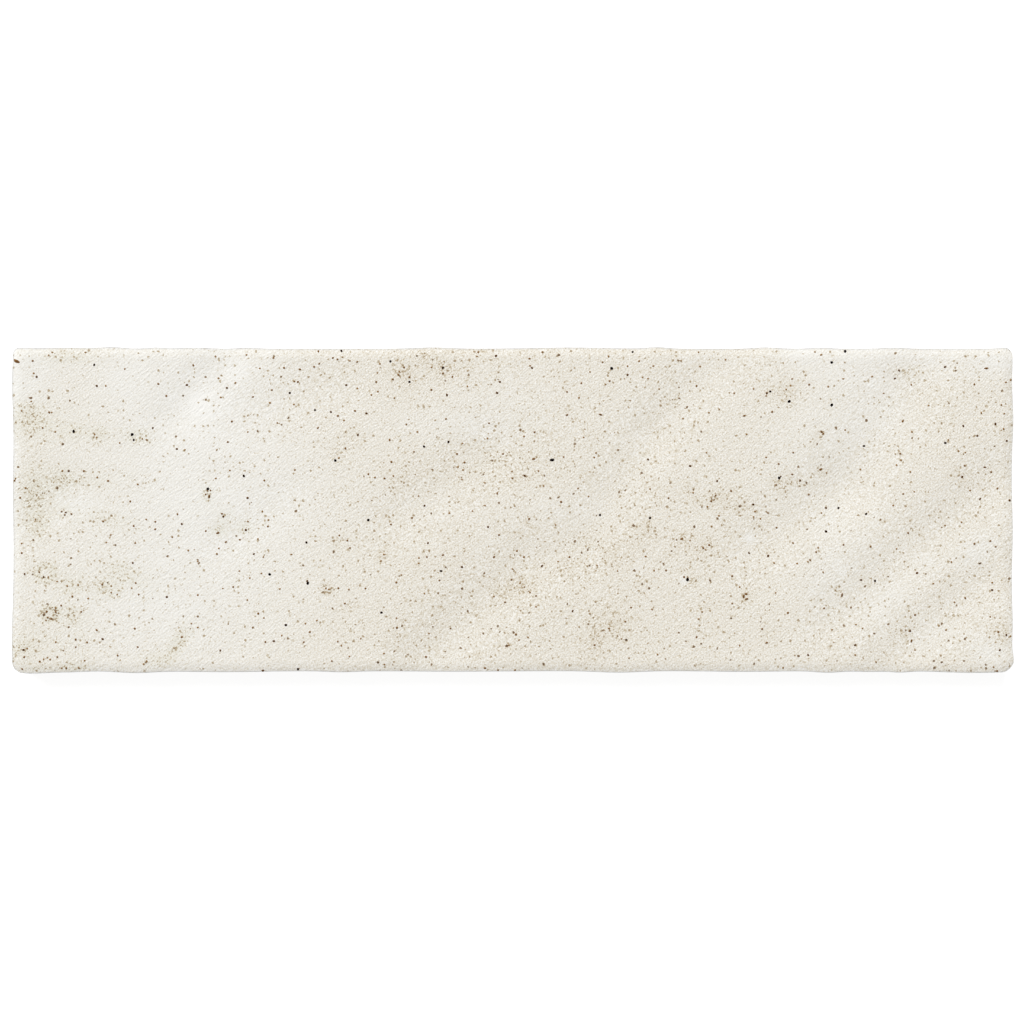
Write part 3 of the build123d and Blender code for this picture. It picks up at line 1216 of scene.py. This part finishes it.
PALE_PLACES = (
    (31.5, 401.5), (34, 373.5), (52.5, 352.5), (49, 355.5), (85.5, 352.5), (106, 386), (125, 369),
    (22, 411), (52, 412.6), (55.5, 432), (95, 434.5), (97, 437.5), (142.5, 439), (120, 443), (62.6, 471),
    (15.8, 478.5), (25.8, 488), (97.5, 477.5), (138, 484.5), (146.5, 519.5), (35.7, 519.3), (22, 543.5),
    (111, 535), (106.5, 542.5), (135.5, 543), (172.5, 537), (48.5, 577), (57.5, 581.5), (78.5, 585),
    (67.5, 586), (132, 588), (111.5, 586), (111.5, 592.5), (117.5, 594.5), (88.5, 598.5), (56, 608),
    (46.3, 620.3), (27.5, 648.5), (56, 642), (147, 661), (144, 664), (50.4, 659.4), (44, 659.3),
    (47.6, 657.6), (62, 668), (85, 660.5), (215.5, 356.5), (246.5, 355), (260, 368.5), (218.5, 378.3),
    (235.5, 383), (221, 397.5), (270, 403), (294, 404.5), (277.5, 423), (185, 450), (217, 450),
    (248, 432), (295, 470), (230, 470.5), (216, 478.5), (262.5, 511.5), (248, 521.5), (268.6, 520),
    (258, 539), (219, 548.5), (263.5, 557), (291.5, 554.5), (188.5, 550.5), (198, 561.5), (239.5, 571),
    (250, 578), (261.5, 573.5), (223, 588.5), (280, 589), (198, 595), (247.5, 600), (191.5, 623.5),
    (198, 627.5), (305.6, 623.6), (317, 620.5), (326, 588.3), (329, 589.4), (264, 618), (282, 635.5),
    (342.5, 357.3), (350, 361), (380, 364), (399.3, 371.5), (377.5, 373), (357.5, 388.5), (378, 391.7),
    (371.5, 395), (394.5, 398), (344, 420.5), (417.5, 432), (431.5, 367.5), (467.5, 386.5), (477, 356.5),
    (462.5, 443.5), (487.5, 438.5), (339, 458), (375, 477.5), (393.5, 476), (458, 467), (463, 470),
    (462, 479.5), (485, 483), (418.5, 496), (485, 505.5), (472.5, 511), (449.5, 513), (419, 558),
    (384, 554.5), (381, 561), (418.8, 563.5), (401.5, 575), (349, 589.5), (424.5, 593.5), (494, 596.5),
    (396.5, 618), (429, 633.5), (361, 638.5), (341.5, 645.5), (384, 653.5), (384.5, 664.5),
    (349.5, 656.5), (530, 366), (590, 372), (605.5, 384.5), (608.5, 356.5), (627.5, 366.3), (639, 361.3),
    (653.2, 366.2), (642.5, 377.5), (648, 378.7), (659, 389), (579, 398), (583.5, 437.5), (524, 436.5),
    (596, 453), (563.5, 457), (594, 457.5), (512, 471.5), (538.5, 471), (543.5, 486), (578, 488.5),
    (588.5, 496.5), (650, 489), (668.5, 498), (555.5, 525), (517, 550.8), (524, 557), (645.5, 556.5),
    (512.5, 569), (520, 583.2), (524.5, 587), (530, 592.5), (536, 606.7), (558, 561.5), (597, 565.5),
    (617.5, 571), (654, 570.5), (652, 609.3), (589.8, 613.7), (579, 626.8), (528, 637.3), (519, 640),
    (509, 645.2), (621.5, 638.8), (657.5, 654.5), (629, 658), (515, 670), (698.5, 352.3), (681, 361),
    (700, 366.5), (725.5, 359.8), (814.8, 352), (821, 355), (792, 379), (790.5, 385.7), (786, 389.6),
    (828, 386.7), (753.5, 389), (766, 396), (734, 393.3), (719, 409.6), (708.8, 412.8), (683, 418.7),
    (746.5, 434.5), (706.3, 452.8), (766, 457.5), (826.5, 472.9), (693, 492.8), (668.5, 498.3),
    (707.3, 506.8), (718.8, 515.7), (711.5, 526.5), (755, 511.5), (753.5, 517), (760.5, 518.7),
    (821.5, 513), (690, 540.5), (705.5, 549.8), (818, 547.8), (774, 563), (797, 563.5), (807.8, 561.8),
    (823, 572.3), (739.5, 587), (775.5, 592.8), (702, 612), (698.5, 619), (739.5, 645.5), (783, 667.7),
    (872, 376.7), (843, 379), (883.5, 393.3), (911.3, 384.8), (1005.5, 382.5), (1010.6, 380), (1001, 405),
    (1004, 413.7), (981, 413), (928.5, 405.5), (845, 430), (911.8, 432), (948, 440), (1003.3, 429),
    (958, 451), (965, 452.5), (900.7, 460.3), (896.5, 465.3), (860.5, 469.5), (910, 472), (970, 490.5),
    (914, 491.8), (893, 505.5), (961.5, 522.3), (945, 525.5), (896.5, 549), (951.3, 562), (933, 583.7),
    (992.3, 582.7), (954.5, 602.3), (990, 616.7), (856, 624.7), (832, 629.7), (862.5, 628.3),
    (939, 625.8), (946, 630), (1010.3, 636.3), (915, 650), (855, 655), (876, 662), (993.3, 667),
)
ODD_SPECKS = rows(
    Speck,
    (74, 431.5, INK, 1.25, 90), (308, 583.1, INK, 1.2, 60, 1.05), (307.3, 580.9, BROWN, 1.3, 60, 0.95),
    (552, 460, INK, 1.6, 5, 1.0), (17, 361.5, SMEAR, 1.9, -15, 1.6), (19, 362.5, SMEAR, 1.2, 0, 1.0),
    (15, 360, FAINT, 1.1, 0, 0.9), (66, 512.5, BROWN, 1.4, 20, 0.9), (71.6, 514.1, SMEAR, 1.3, -40),
    (61.8, 511.6, SMEAR), (64.9, 514.9, SMEAR), (209.5, 496.5, SMEAR, 2.0, 75, 1.1),
    (206, 494.5, SMEAR, 1.4, 60), (820.5, 469.5, FAINT, 1.6, 35, 1.05),
    (821.5, 432, SMEAR, 1.6, -50, 1.05), (817, 444, SMEAR, 1.4, 60, 0.85),
    (780.5, 476.5, BROWN, 1.4, 40, 0.8), (986, 368.5, SMEAR, 2.1, 0, 1.05), (842, 595, SMEAR, 2.0, 85),
    (911.5, 641, SMEAR, 2.0, 75), (715.5, 495.5, SMEAR, 1.5, 60), (746, 594, FAINT, 1.6, -15, 1.0),
    (743.5, 596.5, SMEAR, 1.8, 80, 1.1), (746.5, 599, SMEAR, 1.8, 10), (218, 533, SMEAR, 1.8, 15),
    (222.2, 513.8, FAINT, 1.5, 0, 0.95), (31, 398, SMEAR, 1.9, 0), (226, 542.1, FAINT, 1.5, 45, 1.05),
    (533.6, 459, FAINT, 1.6, 10, 1.05), (600.4, 414.7, SMEAR, 1.9, -20),
    (567, 415.2, SMEAR, 1.8, 30, 0.9), (681.6, 538.8, FAINT, 1.7, 25, 1.0),
    (766.4, 642.7, FAINT, 1.6, 15, 0.95), (984.8, 467.3, SMEAR, 1.9, 0, 0.9),
    (676.6, 539.8, SMEAR, 1.2, 80, 0.9), (207.6, 490.8, FAINT, 1.2, 0, 0.9),
    (210.7, 490.6, SMEAR, 1.2, 70, 0.9),
)

PLAIN_SPECKS = (
    (INK, INK_PLACES),
    (UMBER, UMBER_PLACES),
    (BROWN, BROWN_PLACES),
    (FAINT, FAINT_PLACES),
    (PALE, PALE_PLACES),
)


@dataclass
class IronSpecks:
    """The iron specks that stand out one by one, each a low irregular lump sunk into the glaze.

    A speck that is stretched by more than smear_stretch keeps its width and grows longer; any other keeps its
    area. The plain specks take chance stretches and sizes.
    """

    shape: TileShape
    picture: Picture
    corners: int = 10
    half_height: float = 0.05
    proud: float = 0.02
    raggedness: float = 0.22
    probe: float = 0.25
    crown_share: float = 0.8
    ragged_scale: float = 1.3
    smear_stretch: float = 1.5
    stretches: Point = (1.0, 1.35)
    sizes: Point = (0.92, 1.1)

    def all_specks(self) -> list[Speck]:
        """Every speck: the plain ones of each kind with chance sizes, and the odd ones."""
        specks = list(ODD_SPECKS)
        for kind, places in PLAIN_SPECKS:
            for across, down in places:
                stretch, turn = random.uniform(*self.stretches), random.uniform(0.0, 180.0)
                specks.append(Speck(across, down, kind, stretch, turn, random.uniform(*self.sizes)))
        return specks

    def build(self) -> bpy.types.Object:
        """Builds the specks as one mesh.

        Returns:
            The object, at the origin.
        """
        work = bmesh.new()
        darkness = work.verts.layers.float.new("darkness")
        for speck in self.all_specks():
            self.add_lump(work, darkness, speck)
        bmesh.ops.recalc_face_normals(work, faces=work.faces[:])
        for face in work.faces:
            face.smooth = True
        return new_object("iron_specks", work)

    def add_lump(self, work: bmesh.types.BMesh, darkness: bmesh.types.BMLayerItem, speck: Speck) -> None:
        """Adds one speck, lying in the face's own slope.

        Args:
            work: the mesh in the making.
            darkness: the layer that says how dark each vertex is.
            speck: the speck.
        """
        x, y = self.picture.to_face(speck.across, speck.down)
        slope_x = self.shape.face_height(x + self.probe, y) - self.shape.face_height(x - self.probe, y)
        slope_y = self.shape.face_height(x, y + self.probe) - self.shape.face_height(x, y - self.probe)
        normal = Vector((-slope_x, -slope_y, 2 * self.probe)).normalized()
        height = self.shape.face_height(x, y) + self.proud - self.half_height
        spot = Vector((x + self.shape.shift.x, y + self.shape.shift.y, height))
        iron = speck.kind.value
        radius = iron.radius * speck.size
        sizes = (radius * math.sqrt(speck.stretch), radius / math.sqrt(speck.stretch), self.half_height, 1.0)
        if speck.stretch > self.smear_stretch:
            sizes = (radius * speck.stretch, radius, self.half_height, 1.0)
        stand = (
            Matrix.Scale(MM, 4)
            @ Matrix.Translation(spot)
            @ Vector((0, 0, 1)).rotation_difference(normal).to_matrix().to_4x4()
            @ Matrix.Rotation(math.radians(speck.turn), 4, "Z")
            @ Matrix.Diagonal(sizes)
        )
        lump = bmesh.ops.create_cone(
            work,
            cap_ends=True,
            cap_tris=True,
            segments=self.corners,
            radius1=1.0,
            radius2=self.crown_share,
            depth=2.0,
        )["verts"]
        for vert in lump:
            away = math.hypot(vert.co.x, vert.co.y)
            chance = noise.noise(Vector((vert.co.x, vert.co.y, x + y)) * self.ragged_scale)
            ragged = 1 + self.raggedness * chance * min(away, 1.0)
            vert[darkness] = iron.darkness * (1.0 - iron.paling * away)
            vert.co = stand @ Vector((vert.co.x * ragged, vert.co.y * ragged, vert.co.z))


@dataclass(frozen=True)
class IronOxide:
    """The brown to near-black skin of an iron speck, by how dark the speck says that it is."""

    name: str = "iron_oxide"
    roughness: float = 0.6
    specular: float = 0.05
    cloud_span: float = 0.15
    cloud_depth: float = 0.5
    stops: tuple[tuple[float, Colour], ...] = (
        (0.30, paint(170, 138, 90)),
        (0.55, paint(138, 103, 62)),
        (0.68, paint(106, 74, 42)),
        (0.80, paint(64, 39, 19)),
        (0.95, paint(8, 3, 2)),
    )

    def make(self) -> bpy.types.Material:
        """Makes the material.

        Returns:
            The material.
        """
        material = bpy.data.materials.new(self.name)
        wiring = empty_wiring(material)
        cloud = wiring.math("SUBTRACT", wiring.noise(wiring.place(), self.cloud_span).outputs[0], 0.5)
        darkness = wiring.math("MULTIPLY_ADD", cloud, self.cloud_depth, wiring.layer("darkness"))
        shader = wiring.fill(
            wiring.add("ShaderNodeBsdfPrincipled"),
            Base_Color=wiring.ramp(darkness, self.stops),
            Roughness=self.roughness,
            Specular_IOR_Level=self.specular,
        )
        wiring.end_with(shader)
        return material


@dataclass
class Studio:
    """The pale floor, the soft light and the camera that looks straight down."""

    shape: TileShape
    picture: Picture
    rim_drop: float = 0.4
    floor_half_size: float = 3000.0
    floor_grey: float = 0.45
    floor_glow: float = 0.865
    key_heading: float = 24.0
    key_height: float = 45.0
    key_level: float = 0.73
    key_softness: float = 50.0
    fill_level: float = 0.345
    lens: float = 100.0
    sensor: float = 36.0
    clip: Point = (0.1, 50.0)

    def set_floor(self) -> bpy.types.Object:
        """Lays the floor.

        Returns:
            The floor.
        """
        work = bmesh.new()
        bmesh.ops.create_grid(work, x_segments=1, y_segments=1, size=self.floor_half_size * MM)
        floor = new_object("floor", work)
        floor.data.materials.append(self.floor_finish())
        return floor

    def floor_finish(self) -> bpy.types.Material:
        """White for the camera, and a plain pale floor for the light."""
        material = bpy.data.materials.new("pale_floor")
        wiring = empty_wiring(material)
        grey = (self.floor_grey, self.floor_grey, self.floor_grey, 1.0)
        matt = wiring.fill(wiring.add("ShaderNodeBsdfDiffuse"), Color=grey)
        glow = wiring.add("ShaderNodeEmission")
        wiring.fill(glow, Strength=wiring.math("MULTIPLY", wiring.seen(), self.floor_glow))
        both = wiring.add("ShaderNodeAddShader")
        for socket, shader in zip(both.inputs, (matt, glow)):
            wiring.feed(socket, shader.outputs[0])
        wiring.end_with(both)
        return material

    def set_light(self) -> None:
        """Hangs one big soft lamp over the tile's upper left, and an even light all round."""
        lamp = bpy.data.lights.new("key", "SUN")
        height = math.radians(self.key_height)
        lamp.energy = self.key_level * math.pi / math.sin(height)
        lamp.angle = math.radians(self.key_softness)
        key = bpy.data.objects.new("key", lamp)
        heading = math.radians(self.key_heading)
        level = math.cos(height)
        towards = Vector((-math.sin(heading) * level, math.cos(heading) * level, math.sin(height)))
        key.rotation_mode = "QUATERNION"
        key.rotation_quaternion = towards.to_track_quat("Z", "Y")
        key.location = towards
        bpy.context.scene.collection.objects.link(key)

        world = bpy.data.worlds.new("studio")
        bpy.context.scene.world = world
        wiring = empty_wiring(world)
        sky = wiring.add("ShaderNodeBackground")
        wiring.fill(sky, Strength=wiring.spread(wiring.seen(), 0.0, 1.0, (self.fill_level, 1.0)))
        wiring.end_with(sky, "ShaderNodeOutputWorld")

    def set_camera(self) -> None:
        """Hangs the camera over the tile, as far up as shows the tile's rim at the picture's scale."""
        lens = bpy.data.cameras.new("camera")
        lens.type = "PERSP"
        lens.lens = self.lens
        lens.sensor_width = self.sensor
        camera = bpy.data.objects.new("camera", lens)
        x, y = self.picture.to_face(self.picture.side / 2, self.picture.side / 2)
        wide = self.picture.side * self.picture.mm_per_pixel
        away = wide * self.lens / self.sensor
        rim = self.shape.thickness - self.rim_drop
        camera.location = Vector((x + self.shape.shift.x, y + self.shape.shift.y, rim + away)) * MM
        lens.clip_start, lens.clip_end = (away * share * MM for share in self.clip)
        bpy.context.scene.collection.objects.link(camera)
        bpy.context.scene.camera = camera


def main() -> None:
    """Builds the tile and its studio, in order."""
    logging.basicConfig(level=logging.INFO, format="%(message)s")
    log = logging.getLogger("tile")
    random.seed(7)
    bpy.context.scene.view_settings.view_transform = "Standard"

    picture = Picture()
    shape = TileShape()
    effects = Effects()
    tile = GlazedTile(shape, picture).build()
    tile.data.materials.append(MattGlaze().make(effects))
    tile.data.materials.append(BareClay().make(effects))
    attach(tile, "root")
    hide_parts(NODE)
    log.info("glazed_tile: %d faces", len(tile.data.polygons))

    specks = IronSpecks(shape, picture).build()
    specks.data.materials.append(IronOxide().make())
    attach(specks, "root")
    log.info("iron_specks: %d faces", len(specks.data.polygons))

    studio = Studio(shape, picture)
    studio.set_floor()
    studio.set_light()
    studio.set_camera()
    log.info("studio: floor, light and camera")


if __name__ == "__main__":
    main()
